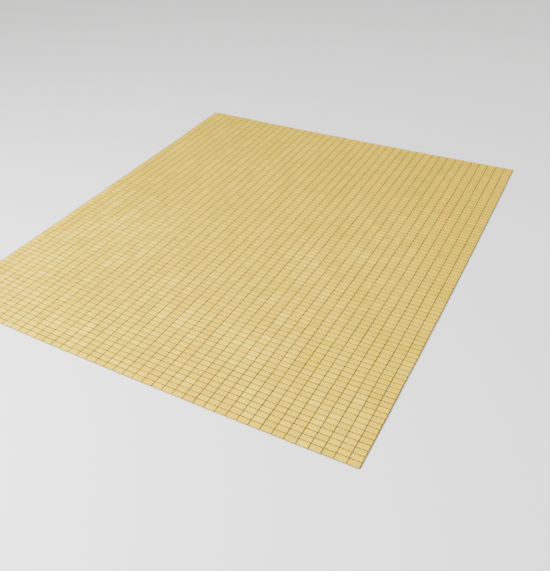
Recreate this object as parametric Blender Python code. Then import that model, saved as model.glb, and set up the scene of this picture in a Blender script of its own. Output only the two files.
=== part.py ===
# Bamboo tile mat, laid flat. Metres, +X across the mat, +Y from its foot to its head, +Z up.
# The origin is under the middle of the mat, on the surface that it lies on.

import bmesh
import bpy

MAT_WIDTH = 1.80  # across all columns, to the middle of the cord along each side
MAT_LENGTH = 1.98  # from the foot edge to the head edge
COLUMNS = 43  # tiles from side to side
TILE_THICKNESS = 0.0055
COLUMN_GAP = 0.0029  # between the ends of neighbouring tiles, where a cord runs
EDGE_ROUND = 0.0009  # taken off the top edges of the tiles
WEB_HEIGHT = 0.0018  # the threads and tile feet that tie the columns together
CORD_WIDTH = 0.0022
CORD_HEIGHT = 0.0014
CLEARANCE = 0.0003  # between a cord and the web below it
COLUMN_BOW = 0.003  # how far the columns curve sideways, each way, along the mat
ROW_BOW = 0.005  # how far the rows curve towards the foot in the middle, each way
STRETCHES = 6  # straight stretches that make up the curve of a column

PITCH = MAT_WIDTH / COLUMNS
BAMBOO = (0.68, 0.50, 0.20, 1.0)
NYLON = (0.40, 0.36, 0.28, 1.0)


def clear_scene():
    for item in list(bpy.data.objects):
        bpy.data.objects.remove(item, do_unlink=True)


def make_material(name, colour, roughness):
    material = bpy.data.materials.new(name)
    material.use_nodes = True
    shader = material.node_tree.nodes["Principled BSDF"]
    shader.inputs["Base Color"].default_value = colour
    shader.inputs["Roughness"].default_value = roughness
    shader.inputs["Metallic"].default_value = 0.0
    return material


def stations():
    """Places where a cross-section is set, from -1 at the foot to 1 at the head."""
    return [2 * step / STRETCHES - 1 for step in range(STRETCHES + 1)]


def laid(x, along, z, middle):
    """A point after the mat's slight bows. All points with the same middle share one stagger along Y."""
    across = middle / (MAT_WIDTH / 2)
    bowed_x = x + COLUMN_BOW * (1 - 2 * along**2)
    bowed_y = along * MAT_LENGTH / 2 + ROW_BOW * (2 * across**2 - 1)
    return (bowed_x, bowed_y, z)


def gap_middle(index):
    """The middle of the gap before column number index."""
    return (index - COLUMNS / 2) * PITCH


def rib_section(index):
    """The top of one tile column as (x, z), from the web up, over and down to the web again."""
    start = gap_middle(index) + COLUMN_GAP / 2
    end = gap_middle(index + 1) - COLUMN_GAP / 2
    shoulder = TILE_THICKNESS - EDGE_ROUND
    return [
        (start, WEB_HEIGHT),
        (start, shoulder),
        (start + EDGE_ROUND, TILE_THICKNESS),
        (end - EDGE_ROUND, TILE_THICKNESS),
        (end, shoulder),
        (end, WEB_HEIGHT),
    ]


def cord_section(middle):
    """A cord that is flat below and rounded above, as (x, z)."""
    low = WEB_HEIGHT + CLEARANCE
    side = low + CORD_HEIGHT * 0.6
    high = low + CORD_HEIGHT
    return [
        (middle - CORD_WIDTH / 2, low),
        (middle - CORD_WIDTH / 2, side),
        (middle - CORD_WIDTH / 4, high),
        (middle + CORD_WIDTH / 4, high),
        (middle + CORD_WIDTH / 2, side),
        (middle + CORD_WIDTH / 2, low),
    ]


def finish(name, shape, material):
    bmesh.ops.recalc_face_normals(shape, faces=shape.faces)
    mesh = bpy.data.meshes.new(name)
    shape.to_mesh(mesh)
    shape.free()
    mesh.materials.append(material)
    item = bpy.data.objects.new(name, mesh)
    bpy.context.collection.objects.link(item)
    return item


def make_tile_mat(material):
    """The mat as one solid: raised tile columns, with the web between them and under the side cords."""
    shape = bmesh.new()
    lip = MAT_WIDTH / 2 + COLUMN_GAP / 2
    ribs = []
    for index in range(COLUMNS):
        middle = gap_middle(index) + PITCH / 2
        section = rib_section(index)
        rings = [[shape.verts.new(laid(x, s, z, middle)) for x, z in section] for s in stations()]
        ribs.append(rings)
        for near, far in zip(rings, rings[1:]):
            for k in range(len(section) - 1):
                shape.faces.new((near[k], near[k + 1], far[k + 1], far[k]))
    left = [shape.verts.new(laid(-lip, s, WEB_HEIGHT, -lip)) for s in stations()]
    right = [shape.verts.new(laid(lip, s, WEB_HEIGHT, lip)) for s in stations()]
    left_foot = [shape.verts.new(laid(-lip, s, 0.0, -lip)) for s in stations()]
    right_foot = [shape.verts.new(laid(lip, s, 0.0, lip)) for s in stations()]

    # The web's top, from the left side to the first column, between the columns and to the right side.
    web_edges = [left]
    for rings in ribs:
        web_edges.append([ring[0] for ring in rings])
        web_edges.append([ring[-1] for ring in rings])
    web_edges.append(right)
    for here, there in zip(web_edges[0::2], web_edges[1::2]):
        for s in range(STRETCHES):
            shape.faces.new((here[s], there[s], there[s + 1], here[s + 1]))

    # The two sides.
    for top, bottom in ((left, left_foot), (right, right_foot)):
        for s in range(STRETCHES):
            shape.faces.new((top[s], bottom[s], bottom[s + 1], top[s + 1]))

    # The foot and head ends: a face for each column and each gap, down to the flat underside.
    undersides = []
    for end in (0, STRETCHES):
        row = [left_foot[end]]
        for rings in ribs:
            for corner in (rings[end][0], rings[end][-1]):
                row.append(shape.verts.new((corner.co.x, corner.co.y, 0.0)))
        row.append(right_foot[end])
        undersides.append(row)
        for k in range(0, len(row), 2):
            shape.faces.new((web_edges[k][end], web_edges[k + 1][end], row[k + 1], row[k]))
        for index, rings in enumerate(ribs):
            shape.faces.new(rings[end] + [row[2 * index + 2], row[2 * index + 1]])

    near, far = undersides
    shape.faces.new(near + right_foot[1:-1] + far[::-1] + left_foot[-2:0:-1])
    return finish("tile_mat", shape, material)


def make_cord(index, material):
    """The cord in the gap before column number index, from foot to head."""
    shape = bmesh.new()
    middle = gap_middle(index)
    section = cord_section(middle)
    rings = [[shape.verts.new(laid(x, s, z, middle)) for x, z in section] for s in stations()]
    for near, far in zip(rings, rings[1:]):
        for k in range(len(section)):
            following = (k + 1) % len(section)
            shape.faces.new((near[k], near[following], far[following], far[k]))
    shape.faces.new(rings[0])
    shape.faces.new(rings[-1])
    return finish(f"cord_{index:02d}", shape, material)


def main():
    clear_scene()
    bamboo = make_material("bamboo", BAMBOO, 0.42)
    nylon = make_material("clear_nylon", NYLON, 0.3)
    make_tile_mat(bamboo)
    for index in range(COLUMNS + 1):
        make_cord(index, nylon)


main()
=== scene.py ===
import math

import bmesh
import bpy
from mathutils import Euler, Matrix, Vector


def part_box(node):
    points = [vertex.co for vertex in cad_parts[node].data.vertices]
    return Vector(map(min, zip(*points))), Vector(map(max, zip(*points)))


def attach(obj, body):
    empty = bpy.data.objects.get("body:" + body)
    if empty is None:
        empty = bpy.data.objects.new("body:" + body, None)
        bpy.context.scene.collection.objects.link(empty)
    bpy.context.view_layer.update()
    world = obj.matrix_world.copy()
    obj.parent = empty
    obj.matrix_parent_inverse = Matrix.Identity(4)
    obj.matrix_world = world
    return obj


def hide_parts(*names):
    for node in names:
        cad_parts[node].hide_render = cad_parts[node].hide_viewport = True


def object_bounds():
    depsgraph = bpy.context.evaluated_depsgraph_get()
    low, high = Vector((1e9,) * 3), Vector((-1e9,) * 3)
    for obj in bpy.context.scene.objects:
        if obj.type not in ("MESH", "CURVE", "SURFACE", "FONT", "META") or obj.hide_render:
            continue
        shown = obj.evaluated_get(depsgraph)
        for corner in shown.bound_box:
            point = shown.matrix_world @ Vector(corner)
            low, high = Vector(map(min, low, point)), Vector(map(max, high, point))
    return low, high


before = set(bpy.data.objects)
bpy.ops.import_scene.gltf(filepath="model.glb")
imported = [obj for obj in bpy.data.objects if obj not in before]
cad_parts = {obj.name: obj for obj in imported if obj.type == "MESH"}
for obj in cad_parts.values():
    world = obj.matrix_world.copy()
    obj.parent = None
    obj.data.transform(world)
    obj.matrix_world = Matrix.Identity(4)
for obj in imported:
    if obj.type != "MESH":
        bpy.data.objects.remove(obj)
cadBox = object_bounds()


class Wire:
    # an output socket that can be written into a sum

    def __init__(self, bench, socket):
        self.bench = bench
        self.socket = socket

    def __add__(self, other):
        return self.bench.maths("ADD", self, other)

    def __radd__(self, other):
        return self.bench.maths("ADD", other, self)

    def __sub__(self, other):
        return self.bench.maths("SUBTRACT", self, other)

    def __rsub__(self, other):
        return self.bench.maths("SUBTRACT", other, self)

    def __mul__(self, other):
        return self.bench.maths("MULTIPLY", self, other)

    def __rmul__(self, other):
        return self.bench.maths("MULTIPLY", other, self)

    def __truediv__(self, other):
        return self.bench.maths("DIVIDE", self, other)

    def __rtruediv__(self, other):
        return self.bench.maths("DIVIDE", other, self)

    def __mod__(self, other):
        return self.bench.maths("FLOORED_MODULO", self, other)

    def __neg__(self):
        return self.bench.maths("MULTIPLY", self, -1.0)

    def __gt__(self, other):
        return self.bench.maths("GREATER_THAN", self, other)

    def __lt__(self, other):
        return self.bench.maths("LESS_THAN", self, other)

    def floored(self):
        return self.bench.maths("FLOOR", self)

    def size(self):
        return self.bench.maths("ABSOLUTE", self)


class Bench:
    # adds nodes to one tree, of a material or of Geometry Nodes

    def __init__(self, tree):
        self.tree = tree

    def pick(self, sockets, name):
        if isinstance(name, int):
            return sockets[name]
        for socket in sockets:
            if socket.identifier == name:
                return socket
        return sockets[name]

    def add(self, kind, settings=None, sockets=None, out=0):
        node = self.tree.nodes.new(kind)
        for name, value in (settings or {}).items():
            if name == "stops":
                self.setStops(node.color_ramp, value)
            else:
                setattr(node, name, value)
        for name, value in (sockets or {}).items():
            socket = self.pick(node.inputs, name)
            if isinstance(value, Wire):
                self.tree.links.new(value.socket, socket)
            else:
                socket.default_value = value
        return Wire(self, self.pick(node.outputs, out))

    def setStops(self, ramp, stops):
        while len(ramp.elements) < len(stops):
            ramp.elements.new(0.5)
        for element, (place, colour) in zip(ramp.elements, stops):
            element.position = place
            element.color = (*colour, 1.0)

    def maths(self, operation, first, second=None):
        values = {0: first} if second is None else {0: first, 1: second}
        return self.add("ShaderNodeMath", {"operation": operation}, values)

    def point(self, x, y, z):
        return self.add("ShaderNodeCombineXYZ", None, {"X": x, "Y": y, "Z": z})

    def axis(self, vector, name):
        return self.add("ShaderNodeSeparateXYZ", None, {0: vector}, name)

    def ramped(self, value, low, high, start=0.0, end=1.0):
        # value from low to high becomes start to end, with soft ends
        return self.add(
            "ShaderNodeMapRange",
            {"interpolation_type": "SMOOTHSTEP"},
            {"Value": value, "From Min": low, "From Max": high, "To Min": start, "To Max": end},
        )

    def mixed(self, share, first, second, way="MIX"):
        return self.add(
            "ShaderNodeMix",
            {"data_type": "RGBA", "blend_type": way},
            {"Factor_Float": share, "A_Color": first, "B_Color": second},
            "Result_Color",
        )

    def noise(self, place, scale, detail, roughness=0.5):
        values = {"Vector": place, "Scale": scale, "Detail": detail, "Roughness": roughness}
        return self.add("ShaderNodeTexNoise", None, values)


# The mat's layout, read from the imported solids
cordCount = sum(name.startswith("cord_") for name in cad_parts)


def middleOf(node, axis):
    low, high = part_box(node)
    return (low[axis] + high[axis]) / 2


matLow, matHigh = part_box("tile_mat")
cordLow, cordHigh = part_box("cord_00")
mat = {
    "columns": cordCount - 1,
    "rows": 88,
    "length": cordHigh[1] - cordLow[1],  # of one cord, so of one column of tiles
    "width": middleOf(f"cord_{cordCount - 1:02d}", 0) - middleOf("cord_00", 0),
    "columnGap": 0.0029,
    "rowGap": 0.0020,
    "cordWidth": 0.0022,  # of one cord's solid
    "waver": 0.0009,  # how far columns and rows wander from their smooth curves
    "waverGrain": 4.5,  # a larger one gives shorter waves
    "waverStretch": 1.6,  # how much shorter the waves are along the mat than across it
    "hill": 0.0012,  # how far the mat rises over slight lumps
    "hillGrain": 2.6,
}
mat["columnBow"] = (cordHigh[0] - cordLow[0]) / 2 - mat["cordWidth"] / 2
mat["rowBow"] = (matHigh[1] - matLow[1] - mat["length"]) / 2
mat["pitchAcross"] = mat["width"] / mat["columns"]
mat["pitchAlong"] = mat["length"] / mat["rows"]
print("layout:", {name: round(value, 5) for name, value in mat.items()})


def newTree(name, inputs):
    # a Geometry Nodes tree with named inputs, as {name: (kind, value)}
    tree = bpy.data.node_groups.new(name, "GeometryNodeTree")
    tree.interface.new_socket("Geometry", in_out="OUTPUT", socket_type="NodeSocketGeometry")
    for title, (kind, value) in inputs.items():
        socket = tree.interface.new_socket(title, in_out="INPUT", socket_type=kind)
        if value is not None:
            socket.default_value = value
    bench = Bench(tree)
    entry = tree.nodes.new("NodeGroupInput")
    given = {title: Wire(bench, entry.outputs[title]) for title in inputs}
    return bench, given


def noted(bench, geometry, name, kind, domain, value):
    values = {"Geometry": geometry, "Name": name, "Value": value}
    return bench.add("GeometryNodeStoreNamedAttribute", {"data_type": kind, "domain": domain}, values)


def recalled(bench, name, kind):
    return bench.add("GeometryNodeInputNamedAttribute", {"data_type": kind}, {"Name": name})


def forgotten(bench, geometry, names):
    for name in names:
        geometry = bench.add("GeometryNodeRemoveAttribute", None, {"Geometry": geometry, "Name": name})
    return geometry


def closeTree(bench, geometry):
    leave = bench.tree.nodes.new("NodeGroupOutput")
    bench.tree.links.new(geometry.socket, leave.inputs["Geometry"])


def grown(name, tree, values, softWeight=0):
    # runs a tree on an empty object and keeps the result as a plain mesh
    host = bpy.data.objects.new(name + "Host", bpy.data.meshes.new(name + "Host"))
    bpy.context.scene.collection.objects.link(host)
    modifier = host.modifiers.new("grow", "NODES")
    modifier.node_group = tree
    sockets = {item.name: item.identifier for item in tree.interface.items_tree if item.in_out == "INPUT"}
    for title, value in values.items():
        modifier[sockets[title]] = value
    if softWeight:
        soften = host.modifiers.new("soften", "WEIGHTED_NORMAL")
        soften.weight = softWeight
        soften.keep_sharp = True
    host.update_tag()
    graph = bpy.context.evaluated_depsgraph_get()
    result = host.evaluated_get(graph)
    mesh = bpy.data.meshes.new_from_object(result, preserve_all_data_layers=True, depsgraph=graph)
    mesh.name = name
    bpy.data.objects.remove(host)
    piece = bpy.data.objects.new(name, mesh)
    bpy.context.scene.collection.objects.link(piece)
    return piece


matInputs = {
    "Columns": ("NodeSocketInt", mat["columns"]),
    "Rows": ("NodeSocketInt", mat["rows"]),
    "Width": ("NodeSocketFloat", mat["width"]),
    "Length": ("NodeSocketFloat", mat["length"]),
    "Column Bow": ("NodeSocketFloat", mat["columnBow"]),
    "Row Bow": ("NodeSocketFloat", mat["rowBow"]),
    "Waver": ("NodeSocketFloat", mat["waver"]),
    "Hill": ("NodeSocketFloat", mat["hill"]),
}


def wander(bench, given, x, y, shift):
    # a slow wander over the mat, the same for tiles and cords
    place = bench.point(x + shift, y * mat["waverStretch"], 0.0)
    field = bench.noise(place, mat["waverGrain"], 1.0)
    return (field - 0.5) * 4.0 * given["Waver"]  # noise stays within a quarter of its middle


def hillAt(bench, given, x, y):
    field = bench.noise(bench.point(x, y, 3.7), mat["hillGrain"], 1.0)
    return bench.ramped(field, 0.3, 0.7) * given["Hill"]


def laidOut(bench, given, x, y):
    # where a place of the straight grid lies on the mat: x, y and the height of its lump
    across = x / (given["Width"] * 0.5)
    along = y / (given["Length"] * 0.5)
    laidX = x + given["Column Bow"] * (1.0 - along * along * 2.0) + wander(bench, given, x, y, 0.0)
    laidY = y + given["Row Bow"] * (across * across * 2.0 - 1.0) + wander(bench, given, x, y, 9.0)
    return laidX, laidY, hillAt(bench, given, x, y)


# Tiles
tile = {
    "length": mat["pitchAcross"] - mat["columnGap"],
    "width": mat["pitchAlong"] - mat["rowGap"],
    "thickness": 0.0051,
    "cornerRadius": 0.0036,
    "cornerSteps": 2,
    "edgeRound": 0.0012,
    "edgeReach": 0.0015,
    # the notches in one side: place along it, width and depth
    "notches": ((-0.25, 0.0046, 0.0019), (0.0, 0.0030, 0.0011), (0.25, 0.0046, 0.0019)),
    "columnsInPiece": 4,
    "shift": 0.00016,  # how far a tile may slip in its threads
    "turn": 0.006,
    "tilt": 0.011,
    "foot": (0.0010, 0.00095, 0.0012),  # how much longer and wider the underside is, and its corners' radius
    "wallShown": 0.0022,  # how much of its map a side wall takes
    "undersideShown": 0.0016,
    "mapCells": 14,  # tiles side by side on a piece's map
    "mapMargins": (0.02, 0.03),  # shares of a tile's cell that stay empty at each side of it
    "clearance": 0.00005,  # under a tile's lowest edge
    "softWeight": 60,  # how much the large faces lead the shading of the edges
    "seed": 4,
}


def tileOutline(growX, growY, radius, notchShare=1.0):
    # the tile seen from above: half of it, then the same half turned round
    halfLength = tile["length"] / 2 + growX
    halfWidth = tile["width"] / 2 + growY
    half = []
    for place, width, depth in tile["notches"]:
        x = place * tile["length"]
        half.append((x - width / 2, -halfWidth))
        half.append((x, depth * notchShare - halfWidth))
        half.append((x + width / 2, -halfWidth))
    for middleY, start in ((radius - halfWidth, -0.5), (halfWidth - radius, 0.0)):
        for step in range(tile["cornerSteps"] + 1):
            angle = (start + 0.5 * step / tile["cornerSteps"]) * math.pi
            corner = (halfLength - radius + radius * math.cos(angle), middleY + radius * math.sin(angle))
            half.append(corner)
    return half + [(-x, -y) for x, y in half]


def makeTileShape():
    # one tile with its underside on zero, and a map of its own in which every face has room
    wall = tile["wallShown"]
    reach = tile["edgeReach"]
    radius = tile["cornerRadius"]
    body = tileOutline(0.0, 0.0, radius)
    top = tileOutline(-reach, -reach, radius - reach)
    mapWidth = tile["length"] + 2 * wall + tile["undersideShown"]
    mapHeight = tile["width"] + 2 * wall
    rings = (
        (tileOutline(*tile["foot"], notchShare=0.0), 0.0, tileOutline(wall, wall, radius + wall)),
        (body, tile["thickness"] - tile["edgeRound"], body),
        (top, tile["thickness"], top),
    )
    shape = bmesh.new()
    unfolded = shape.loops.layers.uv.new("unfolded")
    flatPlace = {}
    levels = []
    for outline, height, opened in rings:
        level = []
        for (x, y), (u, v) in zip(outline, opened):
            vertex = shape.verts.new((x, y, height))
            flatPlace[vertex] = ((u + tile["length"] / 2 + wall) / mapWidth, (v + mapHeight / 2) / mapHeight)
            level.append(vertex)
        levels.append(level)
    count = len(levels[0])
    for lower, upper in zip(levels, levels[1:]):
        for k in range(count):
            shape.faces.new((lower[k], lower[(k + 1) % count], upper[(k + 1) % count], upper[k]))
    shape.faces.new(levels[-1])
    underside = shape.faces.new(levels[0][::-1])
    for edge in underside.edges:
        edge.smooth = False
    for face in shape.faces:
        face.smooth = True
        for loop in face.loops:
            loop[unfolded].uv = flatPlace[loop.vert]
    for loop in underside.loops:  # a narrow strip at the map's end
        u, v = flatPlace[loop.vert]
        loop[unfolded].uv = (1 - (1 - u) * tile["undersideShown"] / mapWidth, v)
    mesh = bpy.data.meshes.new("tileShape")
    shape.to_mesh(mesh)
    shape.free()
    places = mesh.attributes.new("tilePoint", "FLOAT_VECTOR", "POINT")
    for vertex in mesh.vertices:
        places.data[vertex.index].vector = vertex.co
    shapeObject = bpy.data.objects.new("tileShape", mesh)
    bpy.context.scene.collection.objects.link(shapeObject)
    return shapeObject


def makeTileTree():
    inputs = dict(matInputs)
    inputs["Tile"] = ("NodeSocketObject", None)
    inputs["First Column"] = ("NodeSocketInt", 0)
    inputs["Columns Here"] = ("NodeSocketInt", tile["columnsInPiece"])
    inputs["Shift"] = ("NodeSocketFloat", tile["shift"])
    inputs["Turn"] = ("NodeSocketFloat", tile["turn"])
    inputs["Tilt"] = ("NodeSocketFloat", tile["tilt"])
    inputs["Tile Length"] = ("NodeSocketFloat", tile["length"])
    inputs["Tile Width"] = ("NodeSocketFloat", tile["width"])
    inputs["Map Cells"] = ("NodeSocketInt", tile["mapCells"])
    inputs["Seed"] = ("NodeSocketInt", tile["seed"])
    inputs["Material"] = ("NodeSocketMaterial", None)
    bench, given = newTree("tileField", inputs)
    index = bench.add("GeometryNodeInputIndex")
    here = (index / given["Rows"]).floored()
    row = index % given["Rows"]
    column = here + given["First Column"]
    number = column * given["Rows"] + row
    pitchAcross = given["Width"] / given["Columns"]
    pitchAlong = given["Length"] / given["Rows"]
    x = (column + 0.5 - given["Columns"] * 0.5) * pitchAcross
    y = (row + 0.5 - given["Rows"] * 0.5) * pitchAlong
    laidX, laidY, hill = laidOut(bench, given, x, y)

    def dice(reach, throw):
        values = {"Min_001": -reach, "Max_001": reach, "ID": number, "Seed": given["Seed"] + throw}
        return bench.add("FunctionNodeRandomValue", {"data_type": "FLOAT"}, values, "Value_001")

    step = 0.02  # to each side of the tile, for the slope of the lump below it
    slopeX = (hillAt(bench, given, x + step, y) - hillAt(bench, given, x - step, y)) / (2 * step)
    slopeY = (hillAt(bench, given, x, y + step) - hillAt(bench, given, x, y - step)) / (2 * step)
    rowSlope = given["Row Bow"] * 16.0 * x / (given["Width"] * given["Width"])
    tiltX = slopeY + dice(given["Tilt"], 1)
    tiltY = dice(given["Tilt"] * 0.5, 2) - slopeX
    turn = rowSlope + dice(given["Turn"], 3)
    # a tilted tile still stands on the surface, on its lowest edge
    lift = (tiltX.size() * given["Tile Width"] + tiltY.size() * given["Tile Length"]) * 0.5
    place = bench.point(
        laidX + dice(given["Shift"], 4),
        laidY + dice(given["Shift"], 5),
        hill + lift + tile["clearance"],
    )
    count = given["Columns Here"] * given["Rows"]
    points = bench.add("GeometryNodePoints", None, {"Count": count, "Position": place})
    original = bench.add("GeometryNodeObjectInfo", None, {"Object": given["Tile"]}, "Geometry")
    placed = bench.add(
        "GeometryNodeInstanceOnPoints",
        None,
        {"Points": points, "Instance": original, "Rotation": bench.point(tiltX, tiltY, turn)},
    )
    placed = noted(bench, placed, "tileTone", "FLOAT", "INSTANCE", dice(0.5, 6) + 0.5)
    placed = noted(bench, placed, "tileKind", "FLOAT", "INSTANCE", dice(0.5, 7) + 0.5)
    placed = noted(bench, placed, "tileHome", "FLOAT_VECTOR", "INSTANCE", bench.point(x, y, column))
    placed = noted(bench, placed, "tileNumber", "FLOAT", "INSTANCE", index)
    whole = bench.add("GeometryNodeRealizeInstances", None, {"Geometry": placed})
    cell = recalled(bench, "tileNumber", "FLOAT")
    cellsUp = (count / given["Map Cells"] + 0.999).floored()  # rounded up
    flatPlace = recalled(bench, "unfolded", "FLOAT_VECTOR")
    marginX, marginY = tile["mapMargins"]
    inCellX = bench.axis(flatPlace, "X") * (1 - 2 * marginX) + marginX
    inCellY = bench.axis(flatPlace, "Y") * (1 - 2 * marginY) + marginY
    across = (inCellX + cell % given["Map Cells"]) / given["Map Cells"]
    up = (inCellY + (cell / given["Map Cells"]).floored()) / cellsUp
    whole = noted(bench, whole, "OFBake", "FLOAT2", "CORNER", bench.point(across, up, 0.0))
    whole = forgotten(bench, whole, ("unfolded", "tileNumber"))
    whole = bench.add("GeometryNodeSetMaterial", None, {"Geometry": whole, "Material": given["Material"]})
    closeTree(bench, whole)
    return bench.tree


def newMaterial(name):
    material = bpy.data.materials.new(name)
    material.use_nodes = True
    bench = Bench(material.node_tree)
    shader = material.node_tree.nodes["Principled BSDF"]
    return material, bench, shader


def feed(bench, shader, values):
    for name, value in values.items():
        socket = shader.inputs[name]
        if isinstance(value, Wire):
            bench.tree.links.new(value.socket, socket)
        else:
            socket.default_value = value


bamboo = {
    "tones": (
        (0.00, (0.61, 0.450, 0.005)),  # green-yellow
        (0.25, (0.70, 0.500, 0.005)),
        (0.50, (0.79, 0.552, 0.006)),  # straw
        (0.75, (0.87, 0.620, 0.010)),
        (1.00, (0.95, 0.715, 0.048)),  # cream
    ),
    "gold": (0.80, 0.490, 0.003, 1.0),
    "green": (0.67, 0.495, 0.005, 1.0),
    # a painted highlight: the pale colour of the rounded top edge
    "edge": (0.94, 0.710, 0.085, 1.0),
    # painted shade on the side walls below the edge, lighter down at the ledge
    "wall": (0.070, 0.041, 0.010, 1.0),
    # painted shade, darker still, for the end walls and the second rows
    "endWallShade": (0.080, 0.050, 0.012, 1.0),
    "ledge": (0.17, 0.115, 0.050, 1.0),
    # painted shade of the scoop at each outer notch
    "scoopShade": (0.52, 0.330, 0.075, 1.0),
    "roughness": 0.40,
    "roughnessStray": 0.16,
    "shine": 0.07,
    "relief": (0.12, 0.0004),  # of the fibres: strength and height
    # waves of each pattern in a metre, of the mat or of a tile
    "batchWaves": 5.0,
    "patchWaves": 1.9,
    "warmWaves": 4.0,
    "fibreWaves": (45.0, 1500.0, 700.0),
    "streakWaves": (12.0, 260.0),
    "cloudWaves": (50.0, 90.0),
    # how much a tile's shade follows its batch, the mat around it and itself, and how much painted shade
    # darkens it towards the head and the right side, where less light falls
    "batchShare": 1.2,
    "patchShare": 0.8,
    "tileShare": 0.50,
    "headShadeShare": -0.20,
    "sideShadeShare": -0.06,
    "middleShade": 0.48,
    "warmTileShare": 0.20,
    "warmHeadShare": 0.05,
    "warmSideShare": 0.07,
    "warmReach": (0.42, 0.78),
    "warmCover": 0.8,
    "fibreContrast": 0.24,
    "streakContrast": 0.50,
    "goldClouds": 0.4,
    "greenClouds": 0.3,
    "rimHighlightCover": 0.65,
    "wallShadeCover": 0.88,
    # depths below a tile's top, from where each of these starts to where it is full
    "rimHighlightDepths": (0.00012, 0.0007),
    "wallShadeDepths": (0.0005, 0.0015),
    "ledgeDepths": (0.0020, 0.0036),
    "scoopDepths": (0.00002, 0.0003),
    "endReach": 0.0004,  # how far the end wall's colour reaches in from a tile's ends
    # the row whose walls get the darker painted shade
    "shadedRowPlace": 1.5,  # in rows from the foot and from the head
    "scoopSize": (0.0015, 0.0010),
    "scoopInset": 0.0027,  # from the tile's side
    "scoopCover": 0.8,
}


def makeBamboo():
    material, bench, shader = newMaterial("polishedBamboo")

    def read(name, output):
        return bench.add("ShaderNodeAttribute", {"attribute_name": name}, None, output)

    def below(depths):
        return bench.ramped(z, tile["thickness"] - depths[0], tile["thickness"] - depths[1])

    tone = read("tileTone", "Fac")
    kind = read("tileKind", "Fac")
    home = read("tileHome", "Vector")
    spot = read("tilePoint", "Vector")
    homeX, homeY, column = (bench.axis(home, name) for name in "XYZ")
    x, y, z = (bench.axis(spot, name) for name in "XYZ")
    # stock of one shade runs on for some tiles along a column; loose numbers only keep patterns apart
    batch = bench.noise(bench.point(column * 7.31, homeY * bamboo["batchWaves"], 0.0), 1.0, 2.0)
    patch = bench.noise(bench.point(homeX, homeY, 1.5), bamboo["patchWaves"], 1.0)
    shade = (batch - 0.5) * bamboo["batchShare"] + (patch - 0.5) * bamboo["patchShare"]
    shade = shade + (tone - 0.5) * bamboo["tileShare"]
    # painted shade: darker towards the head and the right side, as if less light falls there
    shade = shade + homeY * bamboo["headShadeShare"] + homeX * bamboo["sideShadeShare"] + bamboo["middleShade"]
    body = bench.add("ShaderNodeValToRGB", {"stops": bamboo["tones"]}, {"Fac": shade})
    warm = bench.noise(bench.point(column * 3.7 + 40.0, homeY * bamboo["warmWaves"], 0.0), 1.0, 1.0)
    warm = warm + (kind - 0.5) * bamboo["warmTileShare"]
    warm = warm + homeX * bamboo["warmSideShare"] + homeY * bamboo["warmHeadShare"]
    warmth = bench.ramped(warm, *bamboo["warmReach"], 0.0, bamboo["warmCover"])
    body = bench.mixed(warmth, body, bamboo["gold"])
    # fibres run along the tile
    offset = tone * 37.0 + kind * 11.0
    wavesX, wavesY, wavesZ = bamboo["fibreWaves"]
    fibres = bench.noise(bench.point(x * wavesX + offset, y * wavesY, z * wavesZ), 1.0, 3.0, 0.6)
    wavesX, wavesY = bamboo["streakWaves"]
    streaks = bench.noise(bench.point(x * wavesX + offset, y * wavesY + offset, 0.0), 1.0, 2.0)
    light = 1.0 + (fibres - 0.5) * bamboo["fibreContrast"] + (streaks - 0.5) * bamboo["streakContrast"]
    wavesX, wavesY = bamboo["cloudWaves"]
    cloud = bench.noise(bench.point(x * wavesX + offset, y * wavesY + offset, 5.0), 1.0, 1.0)
    body = bench.mixed(bench.ramped(cloud, 0.5, 0.75, 0.0, bamboo["goldClouds"]), body, bamboo["gold"])
    body = bench.mixed(bench.ramped(cloud, 0.5, 0.25, 0.0, bamboo["greenClouds"]), body, bamboo["green"])
    body = bench.mixed(1.0, body, bench.point(light, light, light), "MULTIPLY")
    # a painted highlight along the rounded top edge, and painted shade on the brown walls below it
    body = bench.mixed(below(bamboo["rimHighlightDepths"]) * bamboo["rimHighlightCover"], body, bamboo["edge"])
    # painted shade on the walls below the edge: dark brown, lighter towards the ledge
    wall = bench.mixed(below(bamboo["ledgeDepths"]), bamboo["wall"], bamboo["ledge"])
    atEnd = x.size() > tile["length"] / 2 - bamboo["endReach"]
    # painted shade, darker still, on the end walls of every tile and on all walls of the second row from the
    # foot and from the head
    shadedRowY = mat["length"] / 2 - bamboo["shadedRowPlace"] * mat["pitchAlong"]
    inShadedRow = (homeY.size() - shadedRowY).size() < mat["pitchAlong"] * 0.5
    wall = bench.mixed(bench.maths("MAXIMUM", atEnd, inShadedRow), wall, bamboo["endWallShade"])
    body = bench.mixed(below(bamboo["wallShadeDepths"]) * bamboo["wallShadeCover"], body, wall)
    # painted shade of a scoop left by the cutter in the edge of each outer notch; the mesh has no scoop
    # there
    outerNotch = tile["notches"][-1][0] * tile["length"]
    scoopLength, scoopWidth = bamboo["scoopSize"]
    outer = (x.size() - outerNotch) / scoopLength
    inward = (y.size() - (tile["width"] / 2 - bamboo["scoopInset"])) / scoopWidth
    scoopShade = bench.ramped(outer * outer + inward * inward, 1.0, 0.6)
    onEdge = below(bamboo["scoopDepths"])
    body = bench.mixed(scoopShade * onEdge * bamboo["scoopCover"], body, bamboo["scoopShade"])
    strength, height = bamboo["relief"]
    relief = {"Strength": strength, "Distance": height, "Height": fibres}
    grain = bench.add("ShaderNodeBump", None, relief, "Normal")
    feed(bench, shader, {
        "Base Color": body,
        "Roughness": bamboo["roughness"] + (streaks - 0.5) * bamboo["roughnessStray"],
        "Normal": grain,
        "Specular IOR Level": bamboo["shine"],
    })
    return material


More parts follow.
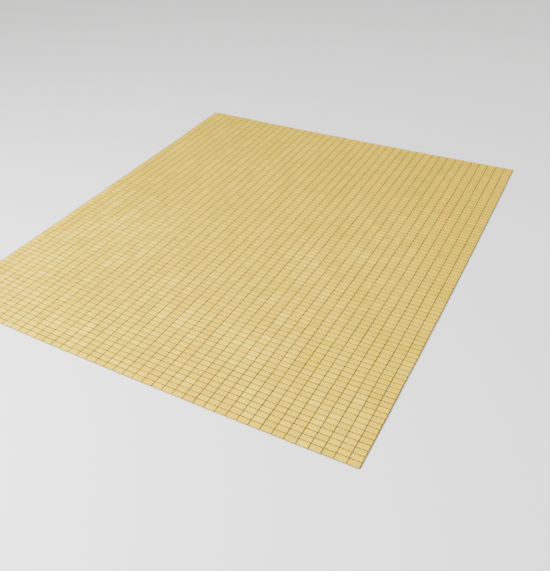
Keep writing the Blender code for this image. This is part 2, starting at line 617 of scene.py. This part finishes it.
bambooMaterial = makeBamboo()
tileShape = makeTileShape()
tileTree = makeTileTree()
tilePieces = []
for first in range(0, mat["columns"], tile["columnsInPiece"]):
    here = min(tile["columnsInPiece"], mat["columns"] - first)
    piece = grown(
        f"tiles_{first:02d}_{first + here - 1:02d}",
        tileTree,
        {"Tile": tileShape, "First Column": first, "Columns Here": here, "Material": bambooMaterial},
        softWeight=tile["softWeight"],
    )
    here * mat["pitchAcross"]
    tilePieces.append(piece)
bpy.data.objects.remove(tileShape)
print("tiles:", len(tilePieces), "pieces,", sum(len(piece.data.polygons) for piece in tilePieces), "faces")


# Cords in the gaps between the columns: a flat band of clear line with two strands lying on it
cord = {
    "height": 0.0026,
    "bandWidth": 0.0019,
    "bandThickness": 0.0007,
    "bandSpread": 3.2,  # times as wide where four tile corners leave room
    "strandWidth": 0.00075,
    "closeSpacing": 0.00095,
    "openSpacing": 0.00180,
    "stationsPerRow": 3,
    "weave": 0.0003,
    "cordsInPiece": 11,
    # painted shade: the clear line is coloured dark brown, as the gap around it is in shade, and darker
    # still in places
    "colour": (0.175, 0.133, 0.057, 1.0),
    "shade": (0.100, 0.073, 0.027, 1.0),
    # painted highlight: the pale streaks along a strand
    "streak": (0.52, 0.47, 0.36, 1.0),
    "roughness": 0.20,
    "roughnessStray": 0.15,
    "coat": 0.2,
    "coatRoughness": 0.08,
    "linesPerGap": 3,  # the band and its two strands
    "endInset": 0.0015,  # how far inside the mat's edge the lines end
    "bandSides": 6,
    "strandSides": 4,
    "bandUneven": 0.08,
    "strandUneven": 0.10,
    "stray": 0.00012,
    "strandLift": 0.42,  # how high a strand lies over its band, as a share of both thicknesses
    "weaveTurn": 1.7,  # from one station to the next
    "weaveLag": 2.6,  # of one strand behind the other
    "streakWaves": (2400.0, 110.0, 2400.0),  # in a metre
    "streakHighlightReach": (0.56, 0.74),
    "streakHighlightCover": 0.6,
    "shadeNoiseWaves": (30.0, 45.0),
    "stripMargin": 0.08,  # share of a line's strip of the map that stays empty at each side
    "seed": 11,
}


def makeCordTree():
    inputs = dict(matInputs)
    inputs["First Cord"] = ("NodeSocketInt", 0)
    inputs["Cords Here"] = ("NodeSocketInt", cord["cordsInPiece"])
    inputs["Height"] = ("NodeSocketFloat", cord["height"])
    inputs["Band Width"] = ("NodeSocketFloat", cord["bandWidth"])
    inputs["Band Thickness"] = ("NodeSocketFloat", cord["bandThickness"])
    inputs["Band Spread"] = ("NodeSocketFloat", cord["bandSpread"])
    inputs["Strand Width"] = ("NodeSocketFloat", cord["strandWidth"])
    inputs["Close Spacing"] = ("NodeSocketFloat", cord["closeSpacing"])
    inputs["Open Spacing"] = ("NodeSocketFloat", cord["openSpacing"])
    inputs["Weave"] = ("NodeSocketFloat", cord["weave"])
    inputs["Stations Per Row"] = ("NodeSocketInt", cord["stationsPerRow"])
    inputs["Seed"] = ("NodeSocketInt", cord["seed"])
    inputs["Material"] = ("NodeSocketMaterial", None)
    bench, given = newTree("cordField", inputs)
    index = bench.add("GeometryNodeInputIndex")
    stations = given["Rows"] * given["Stations Per Row"] + 1.0

    def strung(perGap, sides, flatness, firstStrip):
        # lines along every gap, with the round or flat section that is asked for
        line = (index / stations).floored()
        station = index % stations
        number = (line / perGap).floored() + given["First Cord"]
        lane = line % perGap - (perGap - 1) * 0.5
        x = (number - given["Columns"] * 0.5) * (given["Width"] / given["Columns"])
        y = (station / (stations - 1.0) - 0.5) * (given["Length"] - 2 * cord["endInset"])
        atCorner = station % given["Stations Per Row"] < 0.5
        spacing = given["Close Spacing"] + (given["Open Spacing"] - given["Close Spacing"]) * atCorner
        values = {"Min_001": -1.0, "Max_001": 1.0, "ID": index, "Seed": given["Seed"] + perGap}
        stray = bench.add("FunctionNodeRandomValue", {"data_type": "FLOAT"}, values, "Value_001")
        laidX, laidY, hill = laidOut(bench, given, x, y)
        if perGap == 1:
            width = given["Band Width"]
            # the lines along the two sides have tiles on one hand only and stay narrow
            inside = (number > 0.5) * (number < given["Columns"] - 0.5)
            girth = 1.0 + (given["Band Spread"] - 1.0) * atCorner * inside + stray * cord["bandUneven"]
            raised = 0.0
        else:
            width = given["Strand Width"]
            girth = 1.0 + stray * cord["strandUneven"]
            phase = station * cord["weaveTurn"] + lane * cord["weaveLag"]
            raised = (given["Band Thickness"] + width) * cord["strandLift"]
            raised = raised + bench.maths("SINE", phase) * given["Weave"]
        place = bench.point(
            laidX + lane * spacing + stray * cord["stray"],
            laidY,
            hill + given["Height"] + raised,
        )
        count = stations * given["Cords Here"] * perGap
        points = bench.add("GeometryNodePoints", None, {"Count": count, "Position": place})
        onCord = bench.point(line + given["Cords Here"] * firstStrip, station / (stations - 1.0), 0.0)
        points = noted(bench, points, "onCord", "FLOAT_VECTOR", "POINT", onCord)
        lines = bench.add("GeometryNodePointsToCurves", None, {"Points": points, "Curve Group ID": line})
        lines = bench.add("GeometryNodeSetCurveNormal", {"mode": "Z_UP"}, {"Curve": lines})
        ring = {"Resolution": sides, "Radius": width * 0.5}
        section = bench.add("GeometryNodeCurvePrimitiveCircle", {"mode": "RADIUS"}, ring)
        pressed = {"Geometry": section, "Scale": bench.point(1.0, flatness, 1.0)}
        section = bench.add("GeometryNodeTransform", None, pressed)
        marks = bench.point(index / sides, index < 0.5, index > sides - 1.5)
        section = noted(bench, section, "aroundCord", "FLOAT_VECTOR", "POINT", marks)
        values = {"Curve": lines, "Profile Curve": section, "Fill Caps": True, "Scale": girth}
        return bench.add("GeometryNodeCurveToMesh", None, values)

    flatness = given["Band Thickness"] / given["Band Width"]
    bands = strung(1, cord["bandSides"], flatness, 0)
    strands = strung(2, cord["strandSides"], 1.0, 1)
    tubes = bench.add("GeometryNodeJoinGeometry", None, {"Geometry": bands})
    bench.tree.links.new(strands.socket, tubes.socket.node.inputs["Geometry"])
    # a map with a strip for each line; of a face, the mean of both marks tells the last side and the caps
    around = recalled(bench, "aroundCord", "FLOAT_VECTOR")
    perFace = {"data_type": "FLOAT_VECTOR", "domain": "FACE"}
    means = bench.add("GeometryNodeFieldOnDomain", perFace, {0: around})
    both = bench.axis(means, "Y") * bench.axis(means, "Z")
    lastSide = both > 0.2
    cap = (both > 0.01) - lastSide
    side = bench.axis(around, "X")
    stripPlace = recalled(bench, "onCord", "FLOAT_VECTOR")
    alongStrip = bench.axis(stripPlace, "Y")
    outward = (alongStrip > 0.5) * 2.0 - 1.0
    opened = side + lastSide * (side < 0.01)
    # the caps open as small rounds past the ends of their strip
    capX = 0.5 + bench.maths("COSINE", side * math.tau) * 0.3
    capY = (0.006 + bench.maths("SINE", side * math.tau) * 0.003) * outward
    margin = cord["stripMargin"]
    strip = bench.axis(stripPlace, "X") + margin + (opened + (capX - opened) * cap) * (1 - 2 * margin)
    up = 0.5 + (alongStrip - 0.5) * 0.97 + capY * cap
    flatPlace = bench.point(strip / (given["Cords Here"] * cord["linesPerGap"]), up, 0.0)
    tubes = noted(bench, tubes, "OFBake", "FLOAT2", "CORNER", flatPlace)
    tubes = forgotten(bench, tubes, ("onCord", "aroundCord"))
    tubes = bench.add("GeometryNodeSetShadeSmooth", None, {0: tubes, "Shade Smooth": True})
    tubes = bench.add("GeometryNodeRealizeInstances", None, {"Geometry": tubes})
    tubes = bench.add("GeometryNodeSetMaterial", None, {"Geometry": tubes, "Material": given["Material"]})
    closeTree(bench, tubes)
    return bench.tree


def makeNylon():
    material, bench, shader = newMaterial("clearNylon")
    place = bench.add("ShaderNodeTexCoord", None, None, "Object")
    x, y, z = (bench.axis(place, name) for name in "XYZ")
    # painted highlights: pale streaks where light runs inside a strand; painted shade in darker stretches
    wavesX, wavesY, wavesZ = cord["streakWaves"]
    streaks = bench.noise(bench.point(x * wavesX, y * wavesY, z * wavesZ), 1.0, 2.0)
    wavesX, wavesY = cord["shadeNoiseWaves"]
    shadeNoise = bench.noise(bench.point(x * wavesX, y * wavesY, 0.0), 1.0, 1.0)
    colour = bench.mixed(bench.ramped(shadeNoise, 0.25, 0.75), cord["shade"], cord["colour"])
    pale = bench.ramped(streaks, *cord["streakHighlightReach"], 0.0, cord["streakHighlightCover"])
    colour = bench.mixed(pale, colour, cord["streak"])
    feed(bench, shader, {
        "Base Color": colour,
        "Roughness": cord["roughness"] + (shadeNoise - 0.5) * cord["roughnessStray"],
        "Coat Weight": cord["coat"],
        "Coat Roughness": cord["coatRoughness"],
    })
    return material


nylonMaterial = makeNylon()
cordTree = makeCordTree()
cordPieces = []
for first in range(0, cordCount, cord["cordsInPiece"]):
    here = min(cord["cordsInPiece"], cordCount - first)
    piece = grown(
        f"cords_{first:02d}_{first + here - 1:02d}",
        cordTree,
        {"First Cord": first, "Cords Here": here, "Material": nylonMaterial},
    )
    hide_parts(*[f"cord_{number:02d}" for number in range(first, first + here)])
    cordPieces.append(piece)
print("cords:", len(cordPieces), "pieces,", sum(len(piece.data.polygons) for piece in cordPieces), "faces")

for piece in tilePieces:
    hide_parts("tile_mat")
for piece in tilePieces + cordPieces:
    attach(piece, "root")


# Floor, light and camera
studio = {
    "floorColour": (0.93, 0.935, 0.95, 1.0),
    "floorRoughness": 0.9,
    "floorSize": 14.0,
    "keyPower": 405.0,
    "keySize": 2.0,
    "keyPlace": (-1.3, -2.9, 2.7),
    "fillPower": 50.0,
    "fillSize": 3.0,
    "fillPlace": (2.6, 1.5, 3.0),
    "worldColour": (1.0, 0.975, 0.93, 1.0),
    "worldStrength": 0.86,
}


def makeFloor():
    half = studio["floorSize"] / 2
    mesh = bpy.data.meshes.new("floor")
    corners = [(-half, -half, 0), (half, -half, 0), (half, half, 0), (-half, half, 0)]
    mesh.from_pydata(corners, [], [(0, 1, 2, 3)])
    floor = bpy.data.objects.new("floor", mesh)
    bpy.context.scene.collection.objects.link(floor)
    material, bench, shader = newMaterial("paleFloor")
    feed(bench, shader, {"Base Color": studio["floorColour"], "Roughness": studio["floorRoughness"]})
    mesh.materials.append(material)


def addLight(name, power, size, place, aim):
    lamp = bpy.data.lights.new(name, "AREA")
    lamp.energy = power
    lamp.size = size
    light = bpy.data.objects.new(name, lamp)
    light.location = place
    away = light.location - aim
    light.rotation_euler = away.to_track_quat("Z", "Y").to_euler()
    bpy.context.scene.collection.objects.link(light)


photo = {"width": 550, "height": 571}
eye = {
    "place": (1.282, -2.014, 1.569),
    "turnLeft": 29.17,
    "lookDown": 38.71,
    "roll": -2.44,
    "sensor": 36.0,
    "focal": 626.5,  # in pixels of the photo
    "middleX": 295.0,  # where the lens's axis meets the photo
}


def makeCamera():
    data = bpy.data.cameras.new("camera")
    longSide = max(photo["width"], photo["height"])
    data.sensor_width = eye["sensor"]
    data.lens = eye["focal"] / longSide * data.sensor_width
    data.shift_x = (photo["width"] / 2 - eye["middleX"]) / longSide
    camera = bpy.data.objects.new("camera", data)
    camera.location = eye["place"]
    tipped = math.radians(90 - eye["lookDown"])
    aimed = Euler((tipped, 0.0, math.radians(eye["turnLeft"])), "XYZ").to_matrix()
    rolled = Euler((0.0, 0.0, math.radians(eye["roll"])), "XYZ").to_matrix()
    camera.rotation_euler = (aimed @ rolled).to_euler()
    bpy.context.scene.collection.objects.link(camera)
    bpy.context.scene.camera = camera


def makeWorld():
    world = bpy.data.worlds.new("studio")
    world.use_nodes = True
    sky = world.node_tree.nodes["Background"]
    sky.inputs["Color"].default_value = studio["worldColour"]
    sky.inputs["Strength"].default_value = studio["worldStrength"]
    bpy.context.scene.world = world


makeFloor()
target = (cadBox[0] + cadBox[1]) / 2
addLight("key", studio["keyPower"], studio["keySize"], studio["keyPlace"], target)
addLight("fill", studio["fillPower"], studio["fillSize"], studio["fillPlace"], target)
makeWorld()
makeCamera()
print("studio ready")
